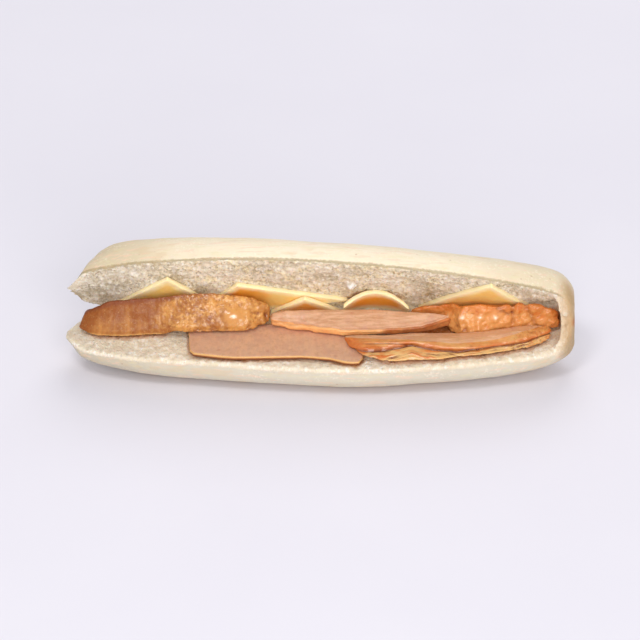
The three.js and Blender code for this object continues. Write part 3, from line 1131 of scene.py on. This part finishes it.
def fillet_right(options, seed):
    """Glossy lump of roast chicken behind, under the last slice of cheese."""
    piece, points, up = begin_chicken("chicken_right", 8)
    x = points[:, 0]
    cloud = waves(points, 9, 4, (1.5, 1, 1), seed=seed + 50)
    knobs = waves(points, 5.0, 3, seed=seed + 51)
    fine = waves(points, 2.2, 2, seed=seed + 52)
    ribbed = rise(70, 78, x) * rise(112, 104, x) * rise(29, 25, up)
    ribs = np.sin(x * 1.15 + 1.5 * cloud + 0.25 * up) * ribbed
    pleats = np.sin(0.55 * x - 0.6 * up + 3.5 * cloud) * rise(104, 116, x)
    beads = sum(bump_at(x, middle, 2.8) for middle in (76.5, 85, 95.4, 104.6)) * bump_at(up, 27.6, 2.7)
    # Painted glints: pale spots on the beads, by place along X and width
    glint_spots = ((77.2, 0.7), (85.2, 1.1), (95.4, 1.1), (104.8, 1.2))
    fat = sum(bump_at(x, middle, width) for middle, width in glint_spots) * bump_at(up, 28.5, 0.9)
    cleft = bump_at(x, 115.5, 1.3) * rise(22, 26, up) + bump_at(x + 0.5 * (up - 28), 127, 1.5)
    relief = cloud + 0.35 * knobs + 0.06 * fine + 0.3 * ribs + 0.5 * pleats + 2.0 * beads - cleft
    roast = 0.3 + 0.35 * rise(29, 34, up) - 0.15 * rise(29, 24, up) * rise(116, 106, x)
    roast += 0.4 * rise(134, 142, x) + 0.35 * rise(0.2, 0.9, -knobs)
    # Painted shade in the clefts, the valleys and between the pleats
    hollow = 0.35 * cleft + 0.6 * rise(0.35, 0.85, -cloud - 0.5 * knobs)
    hollow += 0.25 * rise(0.3, 1.0, -pleats - 0.4) * rise(106, 116, x)
    material = chicken_finish(
        options,
        "chicken_right",
        skin=srgb(224, 154, 86),
        deep=srgb(208, 114, 42),
        flesh=tuple(options.flesh),
        gloss=0.8,
        grain=(1.5, 1, 1),
    )
    finish_chicken(
        piece,
        "chicken_fillet_right",
        material,
        "roast_chicken",
        relief,
        roast=roast,
        hollow=hollow,
        rough=0.2,
        wet=0.16 + 0.5 * beads,
        fat=0.9 * fat,
    )


def slice_low(options, seed):
    """Flat slice on the base's crumb."""
    piece, points, _ = begin_chicken("slice_low", 3)
    z = points[:, 2]
    level = piece.normals()[:, 2]
    band = waves(points, 4.5, 3, (1, 8, 1), seed=seed + 60)
    relief = 0.18 * waves(points, 9, 3, seed=seed + 61) + 0.1 * band
    material = chicken_finish(
        options,
        "slice_low",
        skin=srgb(222, 160, 104),
        deep=srgb(150, 88, 46),
        flesh=srgb(212, 168, 140),
        gloss=0.22,
        grain=(1, 6, 6),
        cut_grain=(1.8, 5, 5),
    )
    finish_chicken(
        piece,
        "chicken_slice_low",
        material,
        "cut_chicken",
        relief,
        flesh=rise(0.75, 0.93, level),
        roast=0.8 + 0.25 * band,
        # hollow: painted shade along the slice's lower edge
        hollow=0.7 * rise(23.5, 23.0, z),
        gold=0.7 * rise(0.95, 0.8, level) * rise(23.4, 23.9, z),
    )


class SANDWICH_OT_chicken(bpy.types.Operator):
    """Makes the five pieces of roast chicken breast."""

    bl_idname = "sandwich.chicken"
    bl_label = "Chicken"

    def execute(self, context):
        options = sandwich_settings().chicken
        seed = sandwich_settings().stage.seed
        for make in (fillet_left, slice_mid, slice_folded, fillet_right, slice_low):
            make(options, seed)
        return {"FINISHED"}


class SANDWICH_OT_stage(bpy.types.Operator):
    """Lays the floor and sets the lights and the camera."""

    bl_idname = "sandwich.stage"
    bl_label = "Stage"

    # Each light's name, place and width in metres, and power as a share of the key light's
    lights = (
        ("key", (-0.45, -0.95, 1.7), 0.5, 1.0),
        ("front", (0.4, -2.4, 1.05), 1.5, 4.6),
        ("back", (0.2, 1.4, 1.5), 1.2, 1.5),
    )
    look_at = (0, -0.0023, 0.0322)
    floor_size = 12
    sensor_width = 36

    def execute(self, context):
        options = sandwich_settings().stage
        scene = context.scene
        finish = Finish("stage_floor")
        colour = finish.blend(finish.noise(160, 3.0, 0.5), srgb(227, 225, 234), srgb(233, 231, 239))
        finish.set(Base_Color=colour, Roughness=0.8, Specular_IOR_Level=0.2)
        bpy.ops.mesh.primitive_plane_add(size=self.floor_size)
        floor = context.object
        floor.name = "floor"
        floor.data.materials.append(finish.material)

        world = bpy.data.worlds.new("room")
        world.use_nodes = True
        background = world.node_tree.nodes["Background"]
        background.inputs["Color"].default_value = (0.95, 0.95, 1.0, 1)
        background.inputs["Strength"].default_value = options.room_light
        scene.world = world
        target = Vector(self.look_at)
        for name, place, size, share in self.lights:
            self.light(name, Vector(place), size, options.key_power * share, target)

        camera = bpy.data.cameras.new("camera")
        camera.sensor_width = self.sensor_width
        camera.lens = self.sensor_width * options.distance / options.view_width
        camera.clip_end = 50
        holder = bpy.data.objects.new("camera", camera)
        scene.collection.objects.link(holder)
        back = Vector((0, -math.cos(options.elevation), math.sin(options.elevation)))
        holder.location = target + back * options.distance
        holder.rotation_euler = (-back).to_track_quat("-Z", "Y").to_euler()
        scene.camera = holder
        scene.view_settings.view_transform = "Standard"
        return {"FINISHED"}

    @staticmethod
    def light(name, place, size, power, target):
        """A soft square light of a slightly warm white, turned to the target."""
        lamp = bpy.data.lights.new(name, "AREA")
        lamp.size = size
        lamp.energy = power
        lamp.color = (1, 0.985, 0.96)
        holder = bpy.data.objects.new(name, lamp)
        bpy.context.scene.collection.objects.link(holder)
        holder.location = place
        holder.rotation_euler = (target - place).to_track_quat("-Z", "Y").to_euler()


class SandwichSettings(bpy.types.PropertyGroup):
    bread: PointerProperty(type=BreadSettings, name="Bread", description="The roll")
    cheese: PointerProperty(type=CheeseSettings, name="Cheese", description="The slices of cheese")
    chicken: PointerProperty(type=ChickenSettings, name="Chicken", description="The pieces of chicken")
    stage: PointerProperty(type=StageSettings, name="Stage", description="Floor, lights and camera")


class SANDWICH_PT_panel(bpy.types.Panel):
    """Sidebar panel with each step of the sandwich and its settings."""

    bl_label = "Sandwich"
    bl_idname = "SANDWICH_PT_panel"
    bl_space_type = "VIEW_3D"
    bl_region_type = "UI"
    bl_category = "Sandwich"

    def draw(self, context):
        steps = (("sandwich.roll", "bread"), ("sandwich.cheese", "cheese"), ("sandwich.chicken", "chicken"))
        for operator, group in (*steps, ("sandwich.stage", "stage")):
            box = self.layout.box()
            options = getattr(context.scene.sandwich, group)
            for name in options.__annotations__:
                box.prop(options, name)
            box.operator(operator)


CLASSES = (
    BreadSettings,
    CheeseSettings,
    ChickenSettings,
    StageSettings,
    SandwichSettings,
    SANDWICH_OT_roll,
    SANDWICH_OT_cheese,
    SANDWICH_OT_chicken,
    SANDWICH_OT_stage,
    SANDWICH_PT_panel,
)


def register():
    for each in CLASSES:
        bpy.utils.register_class(each)
    bpy.types.Scene.sandwich = PointerProperty(type=SandwichSettings)


def unregister():
    del bpy.types.Scene.sandwich
    for each in reversed(CLASSES):
        bpy.utils.unregister_class(each)


def main():
    register()
    bpy.ops.sandwich.roll()
    bpy.ops.sandwich.cheese()
    bpy.ops.sandwich.chicken()
    bpy.ops.sandwich.stage()


if __name__ == "__main__":
    main()
